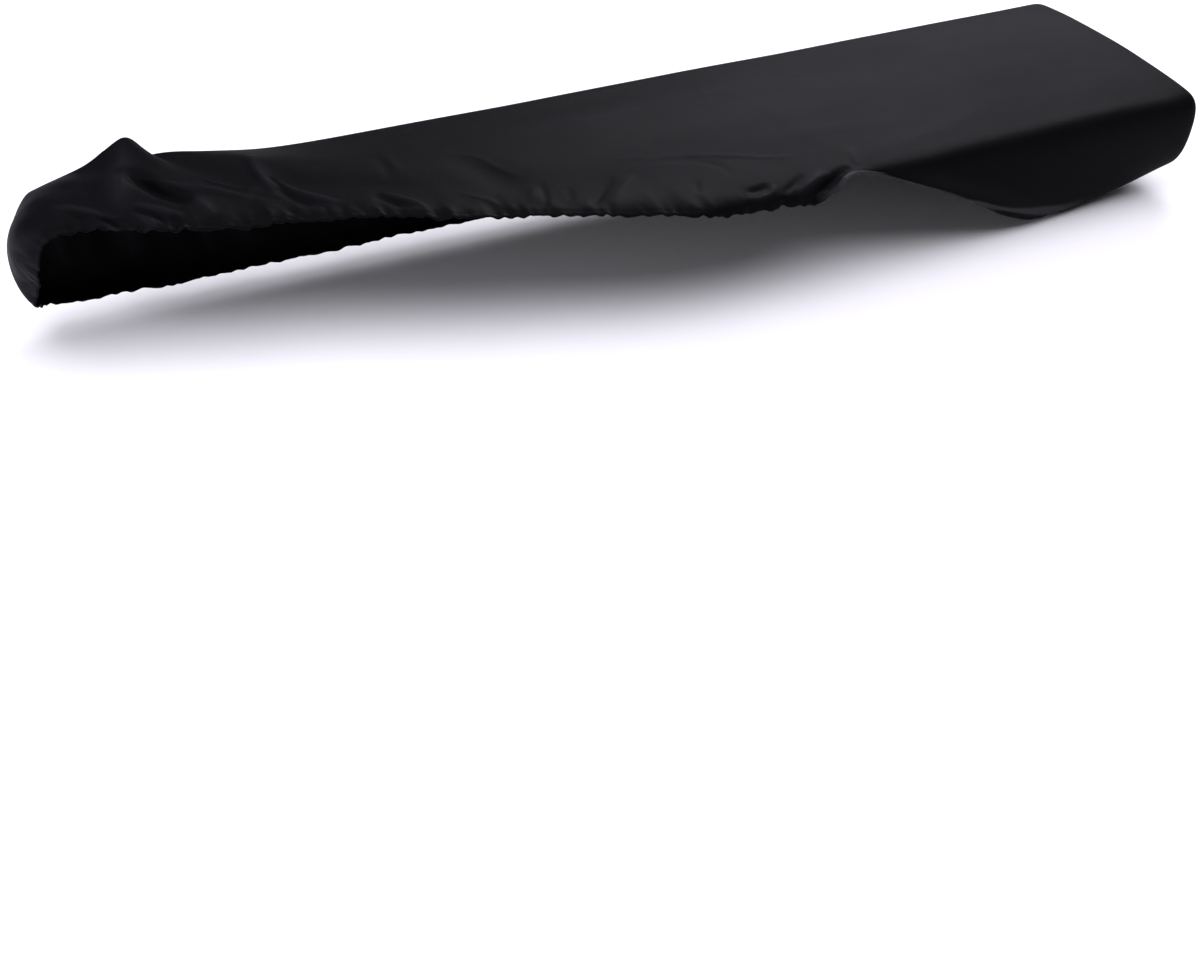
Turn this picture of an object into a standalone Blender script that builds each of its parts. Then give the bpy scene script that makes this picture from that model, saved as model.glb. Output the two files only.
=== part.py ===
"""A fitted dust cover of stretch cloth for a long, shallow body.

The cover is one sheet in the form of a long box without a floor. Its right two thirds are pulled
tight. At the left the front hem has been lifted and pushed back over the top, and the spare cloth
hangs past the left end as a soft bag with a standing corner.

Metres, +Z up, +X along the length, -Y to the front. The origin is on the underside of the top,
in the middle of the plan, where the cover rests on what it protects.
"""

from collections import namedtuple
from math import exp, hypot, pi, sin

import bmesh
import bpy
from mathutils import Vector

CLOTH_THICKNESS = 0.002
SMOOTHING_LEVELS = 1

# The cage's columns, in zones: where each zone starts on the front and on the back edge, and how
# many columns it has. They are close together where the cloth is folded and far apart where it is
# taut, and on the left they slant across the top in the direction of its folds. The rise is how
# the top climbs from its front edge to its back edge: 1 is straight, and more is late and steep.
Zone = namedtuple("Zone", "front_x back_x rise columns")
COLUMN_ZONES = (
    Zone(-0.638, -0.638, 1.4, 9),
    Zone(-0.500, -0.560, 4.5, 9),
    Zone(-0.375, -0.460, 1.6, 8),
    Zone(-0.220, -0.320, 1.1, 7),
    Zone(-0.020, -0.080, 1.0, 11),
    Zone(0.180, 0.130, 1.0, 7),
)
LAST_COLUMN = Zone(0.632, 0.632, 1.0, 0)

# The right end, measured to the outside of the cloth before its corners are rounded, and how far
# each row of its top edge is lifted above a straight line from front to back.
RIGHT_END_X = {"edge": 0.659, "belly": 0.656, "low": 0.651, "hem": 0.630}
RIGHT_END_CROWNS = (0.0040, 0.0110, 0.0150, 0.0155, 0.0115, 0.0050, 0.0)

# How far across the depth each row of the top lies, from the front edge to the back edge,
# and how far the cloth is lifted there above a straight line between the two edges.
ROW_SHARES = (0.0, 0.08, 0.28, 0.50, 0.74, 0.93, 1.0)
ROW_CROWNS = (0.0, 0.002, 0.0068, 0.0085, 0.006, 0.002, 0.0)

# Four lines run round the cover, one below the other: the top edge, the belly of the wall,
# its low corner, and the hem, which is turned in under the cover or lifted onto its top.
LINES = ("edge", "belly", "low", "hem")
Section = namedtuple("Section", "x edge_y edge_z belly_y belly_z low_y low_z hem_y hem_z")
EndRow = namedtuple(
    "EndRow", "edge_x edge_y edge_z belly_x belly_y belly_z low_x low_y low_z hem_x hem_y hem_z"
)

# The front, from left to right. The hem lies on the top as far as x = 0.15, and from there it
# runs down the front face to the underside.
FRONT = tuple(
    Section(*row)
    for row in (
        # x, edge y z, belly y z, low y z, hem y z
        (-0.638, 0.070, 0.012, 0.059, 0.011, 0.049, 0.008, 0.041, 0.000),
        (-0.603, 0.074, 0.016, 0.062, 0.012, 0.050, 0.006, 0.041, -0.002),
        (-0.551, 0.062, 0.013, 0.044, 0.007, 0.025, 0.003, 0.015, -0.003),
        (-0.513, 0.057, 0.011, 0.036, 0.006, 0.015, 0.001, 0.006, -0.005),
        (-0.470, 0.049, 0.007, 0.026, 0.002, 0.004, -0.002, -0.004, -0.008),
        (-0.422, 0.041, 0.004, 0.015, 0.000, -0.005, -0.003, -0.013, -0.009),
        (-0.376, 0.028, 0.002, 0.001, -0.001, -0.021, -0.004, -0.028, -0.009),
        (-0.331, 0.011, 0.001, -0.015, -0.002, -0.037, -0.004, -0.044, -0.009),
        (-0.288, -0.013, -0.001, -0.040, -0.004, -0.061, -0.006, -0.069, -0.010),
        (-0.240, -0.028, -0.003, -0.052, -0.005, -0.073, -0.008, -0.081, -0.013),
        (-0.201, -0.040, -0.004, -0.066, -0.007, -0.086, -0.010, -0.092, -0.015),
        (-0.145, -0.059, -0.006, -0.086, -0.009, -0.108, -0.012, -0.116, -0.018),
        (-0.095, -0.077, -0.008, -0.101, -0.011, -0.121, -0.015, -0.129, -0.020),
        (-0.046, -0.095, -0.010, -0.121, -0.014, -0.142, -0.019, -0.146, -0.025),
        (-0.008, -0.110, -0.012, -0.136, -0.016, -0.147, -0.022, -0.147, -0.033),
        (0.025, -0.119, -0.013, -0.140, -0.017, -0.149, -0.024, -0.147, -0.035),
        (0.052, -0.122, -0.014, -0.141, -0.018, -0.150, -0.024, -0.147, -0.035),
        (0.086, -0.123, -0.015, -0.142, -0.019, -0.154, -0.028, -0.152, -0.038),
        (0.112, -0.126, -0.015, -0.141, -0.019, -0.153, -0.027, -0.152, -0.036),
        (0.132, -0.124, -0.015, -0.140, -0.018, -0.148, -0.021, -0.149, -0.026),
        (0.150, -0.121, -0.015, -0.131, -0.015, -0.137, -0.016, -0.141, -0.018),
        (0.168, -0.131, -0.015, -0.140, -0.018, -0.144, -0.019, -0.146, -0.021),
        (0.189, -0.139, -0.018, -0.145, -0.021, -0.148, -0.025, -0.147, -0.029),
        (0.218, -0.144, -0.019, -0.149, -0.027, -0.150, -0.033, -0.147, -0.040),
        (0.274, -0.146, -0.019, -0.151, -0.037, -0.151, -0.052, -0.147, -0.061),
        (0.312, -0.146, -0.019, -0.151, -0.045, -0.151, -0.070, -0.147, -0.080),
        (0.346, -0.146, -0.019, -0.152, -0.053, -0.151, -0.090, -0.147, -0.100),
        (0.380, -0.146, -0.020, -0.152, -0.060, -0.149, -0.110, -0.143, -0.120),
        (0.427, -0.146, -0.020, -0.152, -0.065, -0.144, -0.127, -0.137, -0.136),
        (0.459, -0.146, -0.020, -0.152, -0.068, -0.139, -0.138, -0.124, -0.141),
        (0.519, -0.146, -0.020, -0.152, -0.070, -0.134, -0.141, -0.102, -0.137),
        (0.595, -0.146, -0.021, -0.151, -0.067, -0.138, -0.126, -0.103, -0.122),
        (0.632, -0.146, -0.023, -0.150, -0.061, -0.141, -0.109, -0.110, -0.111),
    )
)

# The back, from left to right. The high edge near x = -0.54 is the standing corner.
BACK = tuple(
    Section(*row)
    for row in (
        # x, edge y z, belly y z, low y z, hem y z
        (-0.638, 0.149, 0.001, 0.154, -0.043, 0.149, -0.106, 0.124, -0.113),
        (-0.610, 0.150, 0.009, 0.158, -0.041, 0.151, -0.109, 0.124, -0.116),
        (-0.582, 0.151, 0.0205, 0.162, -0.039, 0.152, -0.111, 0.124, -0.117),
        (-0.559, 0.152, 0.037, 0.164, -0.037, 0.153, -0.112, 0.124, -0.118),
        (-0.538, 0.154, 0.045, 0.166, -0.033, 0.153, -0.113, 0.124, -0.119),
        (-0.526, 0.153, 0.018, 0.165, -0.035, 0.153, -0.113, 0.124, -0.119),
        (-0.514, 0.152, 0.019, 0.163, -0.038, 0.152, -0.113, 0.124, -0.119),
        (-0.494, 0.152, 0.0165, 0.161, -0.039, 0.152, -0.113, 0.124, -0.119),
        (-0.463, 0.151, 0.0105, 0.159, -0.041, 0.151, -0.113, 0.124, -0.119),
        (-0.404, 0.150, 0.003, 0.155, -0.043, 0.150, -0.113, 0.124, -0.119),
        (-0.288, 0.149, 0.002, 0.154, -0.043, 0.150, -0.113, 0.124, -0.119),
        (0.092, 0.149, 0.005, 0.153, -0.043, 0.150, -0.115, 0.124, -0.120),
        (0.519, 0.149, 0.008, 0.152, -0.043, 0.150, -0.115, 0.124, -0.120),
        (0.632, 0.149, 0.009, 0.151, -0.041, 0.149, -0.103, 0.124, -0.111),
    )
)

# The left end, from its front corner, which lies on top, to its back corner.
LEFT_END = tuple(
    EndRow(*row)
    for row in (
        # edge x y z, belly x y z, low x y z, hem x y z
        (-0.655, 0.068, 0.011, -0.664, 0.056, 0.008, -0.664, 0.046, 0.004, -0.656, 0.040, -0.001),
        (-0.656, 0.080, 0.012, -0.674, 0.063, 0.002, -0.671, 0.053, -0.018, -0.661, 0.048, -0.028),
        (-0.655, 0.094, 0.010, -0.684, 0.075, -0.004, -0.672, 0.067, -0.045, -0.663, 0.061, -0.056),
        (-0.655, 0.106, 0.009, -0.687, 0.091, -0.014, -0.673, 0.082, -0.067, -0.665, 0.074, -0.079),
        (-0.653, 0.118, 0.007, -0.684, 0.108, -0.026, -0.673, 0.099, -0.085, -0.662, 0.089, -0.093),
        (-0.653, 0.133, 0.005, -0.679, 0.129, -0.043, -0.674, 0.119, -0.097, -0.656, 0.108, -0.103),
        (-0.647, 0.144, 0.002, -0.669, 0.147, -0.045, -0.663, 0.142, -0.102, -0.645, 0.122, -0.109),
    )
)

# The main folds: ridges where the height is above zero, and valleys where it is below. Each runs
# from its start to its end, seen square on to its side: u is x, or y on the left end, and v is
# height, or y on the top.
Fold = namedtuple("Fold", "side start_u start_v end_u end_v height half_width")
SIDE_NORMALS = {
    "top": Vector((0, 0, 1)),
    "front": Vector((0, -1, 0)),
    "back": Vector((0, 1, 0)),
    "left": Vector((-1, 0, 0)),
}
SIDE_AXES = {"top": (0, 1), "front": (0, 2), "back": (0, 2), "left": (1, 2)}
FACING_NONE = 0.15
FACING_FULL = 0.65
FOLDS = tuple(
    Fold(*row)
    for row in (
        # side, start u v, end u v, height, half width
        ("top", -0.562, 0.130, -0.577, 0.050, 0.006, 0.013),
        ("top", -0.560, 0.118, -0.462, 0.038, 0.006, 0.008),
        ("top", -0.562, 0.112, -0.512, 0.034, -0.010, 0.010),
        ("top", -0.567, 0.060, -0.518, 0.018, 0.005, 0.007),
        ("top", -0.578, 0.046, -0.552, 0.016, -0.005, 0.007),
        ("top", -0.640, 0.078, -0.568, 0.042, 0.006, 0.007),
        ("top", -0.640, 0.062, -0.582, 0.036, -0.005, 0.007),
        ("top", -0.428, 0.068, -0.372, -0.008, 0.005, 0.010),
        ("top", -0.422, 0.036, -0.378, -0.014, -0.006, 0.009),
        ("top", -0.350, 0.085, -0.322, 0.010, -0.005, 0.018),
        ("top", -0.348, 0.020, -0.290, -0.056, 0.005, 0.010),
        ("top", -0.362, 0.006, -0.312, -0.036, -0.005, 0.009),
        ("top", -0.260, 0.050, -0.200, -0.045, -0.005, 0.019),
        ("top", -0.195, 0.000, -0.178, -0.090, 0.004, 0.009),
        ("top", -0.160, -0.040, -0.168, -0.106, -0.004, 0.009),
        ("top", -0.124, -0.095, -0.080, -0.045, 0.004, 0.009),
        ("top", -0.095, -0.110, -0.065, -0.060, -0.004, 0.009),
        ("front", 0.165, -0.011, 0.080, -0.045, 0.007, 0.009),
        ("front", 0.146, -0.013, 0.066, -0.037, -0.006, 0.008),
        ("front", 0.122, -0.011, 0.048, -0.035, 0.006, 0.008),
        ("front", 0.098, -0.013, 0.030, -0.031, -0.005, 0.007),
        ("front", 0.060, -0.013, 0.004, -0.035, 0.005, 0.007),
        ("left", 0.075, -0.075, 0.090, -0.005, 0.004, 0.009),
        ("left", 0.105, -0.090, 0.112, -0.005, -0.005, 0.009),
        ("left", 0.130, -0.095, 0.128, -0.015, 0.004, 0.009),
        ("back", -0.610, 0.005, -0.590, -0.105, -0.008, 0.014),
        ("back", -0.560, 0.025, -0.545, -0.105, 0.007, 0.013),
        ("back", -0.520, 0.005, -0.490, -0.110, -0.008, 0.014),
        ("back", -0.455, -0.005, -0.425, -0.110, 0.005, 0.014),
        ("back", -0.380, -0.015, -0.340, -0.110, -0.005, 0.016),
        ("back", -0.250, -0.025, -0.215, -0.110, 0.003, 0.018),
    )
)


def mixed(start, end, share):
    return start + (end - start) * share


def eased(share):
    share = min(max(share, 0.0), 1.0)
    return share * share * (3 - 2 * share)


def section_at(table, x):
    """The table's row at x, read along a smooth curve through its rows."""
    last = len(table) - 1
    start = next((i for i in range(last) if x < table[i + 1].x), last - 1)
    before, left, right, after = (table[min(max(start + i, 0), last)] for i in (-1, 0, 1, 2))
    span = right.x - left.x
    share = (x - left.x) / span
    values = [x]
    for i in range(1, len(Section._fields)):
        slope_left = (right[i] - before[i]) / (right.x - before.x) * span
        slope_right = (after[i] - left[i]) / (after.x - left.x) * span
        values.append(
            mixed(left[i], right[i], eased(share))
            + slope_left * share * (1 - share) ** 2
            - slope_right * share**2 * (1 - share)
        )
    return Section(*values)


def column_places():
    """The front x, back x and rise of every column."""
    places = []
    for zone, following in zip(COLUMN_ZONES, COLUMN_ZONES[1:] + (LAST_COLUMN,)):
        for i in range(zone.columns):
            places.append([mixed(a, b, i / zone.columns) for a, b in zip(zone[:3], following[:3])])
    return places + [list(LAST_COLUMN[:3])]


COLUMN_PLACES = column_places()
COLUMNS = len(COLUMN_PLACES) + 1
ROWS = len(ROW_SHARES) - 1


def line_point(section, line, x):
    return Vector((x, getattr(section, line + "_y"), getattr(section, line + "_z")))


def front_point(column, line):
    x = COLUMN_PLACES[column - 1][0]
    return line_point(section_at(FRONT, x), line, x)


def back_point(column, line):
    x = COLUMN_PLACES[column - 1][1]
    return line_point(section_at(BACK, x), line, x)


def left_end_point(row, line):
    end_row = LEFT_END[row]
    return Vector([getattr(end_row, f"{line}_{axis}") for axis in "xyz"])


def right_end_point(row, line):
    front = line_point(FRONT[-1], line, RIGHT_END_X[line])
    back = line_point(BACK[-1], line, RIGHT_END_X[line])
    point = front.lerp(back, ROW_SHARES[row])
    if line == "edge":
        point.z += RIGHT_END_CROWNS[row]
    return point


def top_point(column, row):
    front = front_point(column, "edge")
    back = back_point(column, "edge")
    rise = COLUMN_PLACES[column - 1][2]
    point = front.lerp(back, ROW_SHARES[row])
    point.z = mixed(front.z, back.z, ROW_SHARES[row] ** rise) + ROW_CROWNS[row]
    return point


def cage_point(column, row, line):
    """Where the cage's point goes, from its place in the flat grid and the line that it is on."""
    if column == 0:
        return left_end_point(row, line)
    if column == COLUMNS:
        return right_end_point(row, line)
    if row == 0:
        return front_point(column, line)
    if row == ROWS:
        return back_point(column, line)
    return top_point(column, row)


def build_cage():
    """A flat grid for the top, with its border drawn down line by line to make the walls."""
    cage = bmesh.new()
    bmesh.ops.create_grid(cage, x_segments=COLUMNS, y_segments=ROWS, size=1.0)
    for depth in range(1, len(LINES)):
        border = [edge for edge in cage.edges if edge.is_boundary]
        drawn = bmesh.ops.extrude_edge_only(cage, edges=border)
        for vert in drawn["geom"]:
            if isinstance(vert, bmesh.types.BMVert):
                vert.co.z = -depth
    for vert in cage.verts:
        column = round((vert.co.x + 1) / 2 * COLUMNS)
        row = round((vert.co.y + 1) / 2 * ROWS)
        vert.co = cage_point(column, row, LINES[round(-vert.co.z)])
    bmesh.ops.recalc_face_normals(cage, faces=cage.faces)
    return cage


def smoothed(cage, name):
    """The cage turned into a soft sheet by Subdivision Surface."""
    mesh = bpy.data.meshes.new(name)
    cage.to_mesh(mesh)
    cage.free()
    cover = bpy.data.objects.new(name, mesh)
    bpy.context.scene.collection.objects.link(cover)
    rounding = cover.modifiers.new("soft edges", "SUBSURF")
    rounding.levels = SMOOTHING_LEVELS
    rounding.render_levels = SMOOTHING_LEVELS
    graph = bpy.context.evaluated_depsgraph_get()
    cover.data = bpy.data.meshes.new_from_object(cover.evaluated_get(graph))
    cover.modifiers.remove(rounding)
    return cover


def fold_height(fold, point, normal):
    """How far this fold lifts the cloth at a point: full on its line, and none past its ends."""
    facing = normal.dot(SIDE_NORMALS[fold.side])
    strength = eased((facing - FACING_NONE) / (FACING_FULL - FACING_NONE))
    if strength == 0.0:
        return 0.0
    u, v = (point[axis] for axis in SIDE_AXES[fold.side])
    run_u = fold.end_u - fold.start_u
    run_v = fold.end_v - fold.start_v
    along = ((u - fold.start_u) * run_u + (v - fold.start_v) * run_v) / (run_u**2 + run_v**2)
    if not 0.0 < along < 1.0:
        return 0.0
    away = hypot(u - fold.start_u - along * run_u, v - fold.start_v - along * run_v)
    return fold.height * strength * sin(pi * along) ** 0.7 * exp(-((away / fold.half_width) ** 2))


def lay_folds(mesh):
    """Every point moves along its normal by the sum of the folds that reach it."""
    moves = []
    for vert in mesh.vertices:
        lift = sum(fold_height(fold, vert.co, vert.normal) for fold in FOLDS)
        moves.append(vert.normal * lift)
    for vert, move in zip(mesh.vertices, moves):
        vert.co += move


def cloth_material():
    material = bpy.data.materials.new("black stretch knit")
    material.use_nodes = True
    shader = material.node_tree.nodes["Principled BSDF"]
    shader.inputs["Base Color"].default_value = (0.012, 0.012, 0.014, 1.0)
    shader.inputs["Roughness"].default_value = 0.55
    shader.inputs["Metallic"].default_value = 0.0
    return material


def build_cover():
    cover = smoothed(build_cage(), "cover")
    lay_folds(cover.data)
    cover.data.shade_smooth()
    cover.data.materials.append(cloth_material())
    wall = cover.modifiers.new("cloth thickness", "SOLIDIFY")
    wall.thickness = CLOTH_THICKNESS
    wall.offset = -1.0


for startup_object in list(bpy.data.objects):
    bpy.data.objects.remove(startup_object)
build_cover()
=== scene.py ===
"""The looks of a fitted dust cover of black stretch knit: its creased cloth, a pale floor, soft
studio light and a camera. Metres, +Z up, +X along the cover, -Y to its front."""

from collections import namedtuple
from math import pi, radians

import bmesh
import bpy
import numpy as np
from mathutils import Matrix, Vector, noise


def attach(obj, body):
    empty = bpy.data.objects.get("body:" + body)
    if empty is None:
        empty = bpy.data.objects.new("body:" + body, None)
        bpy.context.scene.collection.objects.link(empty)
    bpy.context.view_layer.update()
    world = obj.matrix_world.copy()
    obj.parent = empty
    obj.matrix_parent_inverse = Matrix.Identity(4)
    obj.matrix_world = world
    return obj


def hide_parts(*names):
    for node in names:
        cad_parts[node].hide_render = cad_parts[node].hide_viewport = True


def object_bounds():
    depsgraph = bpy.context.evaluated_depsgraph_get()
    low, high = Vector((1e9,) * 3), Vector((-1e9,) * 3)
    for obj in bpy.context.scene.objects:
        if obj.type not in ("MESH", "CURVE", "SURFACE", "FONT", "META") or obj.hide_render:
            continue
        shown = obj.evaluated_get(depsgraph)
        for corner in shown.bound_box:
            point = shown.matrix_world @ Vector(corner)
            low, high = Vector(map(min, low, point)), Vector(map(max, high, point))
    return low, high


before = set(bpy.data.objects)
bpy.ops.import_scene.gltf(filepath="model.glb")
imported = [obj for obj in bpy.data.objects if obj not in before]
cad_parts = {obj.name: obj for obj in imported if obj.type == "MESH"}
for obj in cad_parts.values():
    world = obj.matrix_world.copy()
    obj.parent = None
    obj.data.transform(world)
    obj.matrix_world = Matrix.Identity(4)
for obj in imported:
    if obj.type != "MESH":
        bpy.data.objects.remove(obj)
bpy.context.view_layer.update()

# The cover: one body of thin black stretch knit, a top with a drop on each side, sewn into a long
# box without a floor. It is drawn tight over its right end. At the left its front hem is lifted
# and pushed back over the top, and the spare cloth hangs past the end as a soft bag.

CLOTH_THICKNESS = 0.0014
SMOOTHING_LEVELS = 3

# The lines that run round the cover, one below the other, from the top edge to the hem.
LINES = ("edge", "belly", "low", "hem")
Section = namedtuple("Section", "x edge_y edge_z belly_y belly_z low_y low_z hem_y hem_z")
FRONT = tuple(
    Section(*row)
    for row in (
        # x, edge y z, belly y z, low y z, hem y z
        (-0.638, 0.070, 0.012, 0.059, 0.011, 0.049, 0.008, 0.041, 0.000),
        (-0.603, 0.074, 0.016, 0.062, 0.012, 0.050, 0.006, 0.041, -0.002),
        (-0.551, 0.062, 0.013, 0.044, 0.007, 0.025, 0.003, 0.015, -0.003),
        (-0.513, 0.057, 0.011, 0.036, 0.006, 0.015, 0.001, 0.006, -0.005),
        (-0.470, 0.049, 0.007, 0.026, 0.002, 0.004, -0.002, -0.004, -0.008),
        (-0.422, 0.041, 0.004, 0.015, 0.000, -0.005, -0.003, -0.013, -0.009),
        (-0.376, 0.028, 0.002, 0.001, -0.001, -0.021, -0.004, -0.028, -0.009),
        (-0.331, 0.011, 0.001, -0.015, -0.002, -0.037, -0.004, -0.044, -0.009),
        (-0.288, -0.013, -0.001, -0.040, -0.004, -0.061, -0.006, -0.069, -0.010),
        (-0.240, -0.028, -0.003, -0.052, -0.005, -0.073, -0.008, -0.081, -0.013),
        (-0.201, -0.040, -0.004, -0.066, -0.007, -0.086, -0.010, -0.092, -0.015),
        (-0.145, -0.059, -0.006, -0.086, -0.009, -0.108, -0.012, -0.116, -0.018),
        (-0.095, -0.077, -0.008, -0.101, -0.011, -0.121, -0.015, -0.129, -0.020),
        (-0.046, -0.095, -0.010, -0.121, -0.014, -0.142, -0.019, -0.146, -0.025),
        (-0.008, -0.110, -0.012, -0.136, -0.016, -0.147, -0.022, -0.147, -0.033),
        (0.025, -0.119, -0.013, -0.140, -0.017, -0.149, -0.024, -0.147, -0.035),
        (0.052, -0.122, -0.014, -0.141, -0.018, -0.150, -0.024, -0.147, -0.035),
        (0.086, -0.123, -0.015, -0.142, -0.019, -0.154, -0.028, -0.152, -0.038),
        (0.112, -0.126, -0.015, -0.141, -0.019, -0.153, -0.027, -0.152, -0.036),
        (0.132, -0.124, -0.015, -0.140, -0.018, -0.148, -0.021, -0.149, -0.026),
        (0.150, -0.121, -0.015, -0.131, -0.015, -0.137, -0.016, -0.141, -0.018),
        (0.168, -0.131, -0.015, -0.140, -0.018, -0.144, -0.019, -0.146, -0.021),
        (0.189, -0.139, -0.018, -0.145, -0.021, -0.148, -0.025, -0.147, -0.029),
        (0.218, -0.144, -0.019, -0.149, -0.027, -0.150, -0.033, -0.147, -0.040),
        (0.274, -0.146, -0.019, -0.151, -0.037, -0.151, -0.052, -0.147, -0.061),
        (0.312, -0.146, -0.019, -0.151, -0.045, -0.151, -0.070, -0.147, -0.080),
        (0.346, -0.146, -0.019, -0.152, -0.053, -0.151, -0.090, -0.147, -0.100),
        (0.380, -0.146, -0.020, -0.152, -0.060, -0.149, -0.110, -0.143, -0.120),
        (0.427, -0.146, -0.020, -0.152, -0.065, -0.144, -0.127, -0.137, -0.136),
        (0.459, -0.146, -0.020, -0.152, -0.068, -0.139, -0.138, -0.124, -0.141),
        (0.519, -0.146, -0.020, -0.152, -0.070, -0.134, -0.141, -0.102, -0.137),
        (0.595, -0.146, -0.021, -0.151, -0.067, -0.138, -0.126, -0.103, -0.122),
        (0.632, -0.146, -0.023, -0.150, -0.061, -0.141, -0.109, -0.110, -0.111),
    )
)
BACK = tuple(
    Section(*row)
    for row in (
        # x, edge y z, belly y z, low y z, hem y z
        (-0.638, 0.149, 0.001, 0.154, -0.043, 0.149, -0.106, 0.124, -0.113),
        (-0.610, 0.150, 0.009, 0.158, -0.041, 0.151, -0.109, 0.124, -0.116),
        (-0.582, 0.151, 0.0205, 0.162, -0.039, 0.152, -0.111, 0.124, -0.117),
        (-0.559, 0.152, 0.037, 0.164, -0.037, 0.153, -0.112, 0.124, -0.118),
        (-0.537, 0.154, 0.045, 0.166, -0.033, 0.153, -0.113, 0.124, -0.119),
        (-0.526, 0.153, 0.018, 0.165, -0.035, 0.153, -0.113, 0.124, -0.119),
        (-0.514, 0.152, 0.019, 0.163, -0.038, 0.152, -0.113, 0.124, -0.119),
        (-0.494, 0.152, 0.0165, 0.161, -0.039, 0.152, -0.113, 0.124, -0.119),
        (-0.463, 0.151, 0.0105, 0.159, -0.041, 0.151, -0.113, 0.124, -0.119),
        (-0.404, 0.150, 0.003, 0.155, -0.043, 0.150, -0.113, 0.124, -0.119),
        (-0.288, 0.149, 0.002, 0.154, -0.043, 0.150, -0.113, 0.124, -0.119),
        (0.092, 0.149, 0.005, 0.153, -0.043, 0.150, -0.115, 0.124, -0.120),
        (0.519, 0.149, 0.008, 0.152, -0.043, 0.150, -0.115, 0.124, -0.120),
        (0.632, 0.149, 0.009, 0.151, -0.041, 0.149, -0.103, 0.124, -0.111),
    )
)
EndRow = namedtuple(
    "EndRow", "edge_x edge_y edge_z belly_x belly_y belly_z low_x low_y low_z hem_x hem_y hem_z"
)
LEFT_END = tuple(
    EndRow(*row)
    for row in (
        # from the front corner to the back corner: edge x y z, belly x y z, low x y z, hem x y z
        (-0.655, 0.068, 0.011, -0.664, 0.056, 0.008, -0.664, 0.046, 0.004, -0.656, 0.040, -0.001),
        (-0.656, 0.080, 0.012, -0.674, 0.063, 0.002, -0.671, 0.053, -0.018, -0.661, 0.048, -0.028),
        (-0.655, 0.087, 0.011, -0.680, 0.068, 0.000, -0.672, 0.060, -0.032, -0.662, 0.054, -0.043),
        (-0.655, 0.094, 0.010, -0.684, 0.075, -0.004, -0.672, 0.067, -0.045, -0.663, 0.061, -0.056),
        (-0.655, 0.106, 0.009, -0.687, 0.091, -0.014, -0.673, 0.082, -0.067, -0.665, 0.074, -0.079),
        (-0.653, 0.118, 0.007, -0.684, 0.108, -0.026, -0.673, 0.099, -0.085, -0.662, 0.089, -0.093),
        (-0.653, 0.133, 0.005, -0.679, 0.129, -0.043, -0.674, 0.119, -0.097, -0.656, 0.108, -0.103),
        (-0.647, 0.144, 0.002, -0.669, 0.147, -0.045, -0.663, 0.142, -0.102, -0.645, 0.122, -0.109),
    )
)
# The places of the right end's lines, and how far each row of its top edge is lifted above a
# straight line from front to back.
RIGHT_END_X = {"edge": 0.659, "belly": 0.656, "low": 0.651, "hem": 0.630}
RIGHT_END_CROWNS = (0.0040, 0.0110, 0.0135, 0.0150, 0.0155, 0.0115, 0.0050, 0.0)

# Where the columns of the cloth's grid start on the front and back edges, how steeply the top
# rises to its back edge there, and how many columns follow.
Zone = namedtuple("Zone", "front_x back_x rise columns")
ZONES = (
    Zone(-0.638, -0.638, 1.4, 9),
    Zone(-0.512, -0.568, 4.5, 6),
    Zone(-0.452, -0.516, 4.5, 5),
    Zone(-0.375, -0.460, 1.1, 8),
    Zone(-0.220, -0.320, 1.0, 8),
    Zone(-0.020, -0.080, 1.0, 10),
    Zone(0.180, 0.130, 1.0, 7),
    Zone(0.632, 0.632, 1.0, 0),
)
# How far back each row of the grid lies on the top, and how far it is crowned above the slope.
ROW_SHARES = (0.0, 0.08, 0.17, 0.28, 0.50, 0.74, 0.93, 1.0)
ROW_CROWNS = (0.0, 0.002, 0.0045, 0.0068, 0.0085, 0.006, 0.002, 0.0)
ROWS = len(ROW_SHARES) - 1


def mixed(start, end, share):
    return start + (end - start) * share


def eased(share):
    share = np.clip(share, 0.0, 1.0)
    return share * share * (3 - 2 * share)


def section_at(table, x):
    """The table's row at x, read along a smooth curve through its rows."""
    last = len(table) - 1
    start = next((i for i in range(last) if x < table[i + 1].x), last - 1)
    before, left, right, after = (table[min(max(start + i, 0), last)] for i in (-1, 0, 1, 2))
    span = right.x - left.x
    share = (x - left.x) / span
    values = [x]
    for i in range(1, len(Section._fields)):
        slope_left = (right[i] - before[i]) / (right.x - before.x) * span
        slope_right = (after[i] - left[i]) / (after.x - left.x) * span
        values.append(
            mixed(left[i], right[i], float(eased(share)))
            + slope_left * share * (1 - share) ** 2
            - slope_right * share**2 * (1 - share)
        )
    return Section(*values)


columns = []
for zone, following in zip(ZONES, ZONES[1:]):
    for step in range(zone.columns):
        share = step / zone.columns
        columns.append([mixed(a, b, share) for a, b in zip(zone[:3], following[:3])])
columns.append(ZONES[-1][:3])
LAST_COLUMN = len(columns) + 1


def line_point(section, line, x):
    return Vector((x, getattr(section, line + "_y"), getattr(section, line + "_z")))


def cloth_point(column, row, line):
    """The place of a point of the cloth's grid, from its column, its row and its line."""
    if column == 0:
        return Vector([getattr(LEFT_END[row], f"{line}_{axis}") for axis in "xyz"])
    if column == LAST_COLUMN:
        front = line_point(FRONT[-1], line, RIGHT_END_X[line])
        back = line_point(BACK[-1], line, RIGHT_END_X[line])
        point = front.lerp(back, ROW_SHARES[row])
        if line == "edge":
            point.z += RIGHT_END_CROWNS[row]
        return point
    front_x, back_x, rise = columns[column - 1]
    front = line_point(section_at(FRONT, front_x), line, front_x)
    back = line_point(section_at(BACK, back_x), line, back_x)
    if row in (0, ROWS):
        return back if row else front
    point = front.lerp(back, ROW_SHARES[row])
    point.z = mixed(front.z, back.z, ROW_SHARES[row] ** rise) + ROW_CROWNS[row]
    return point


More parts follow.
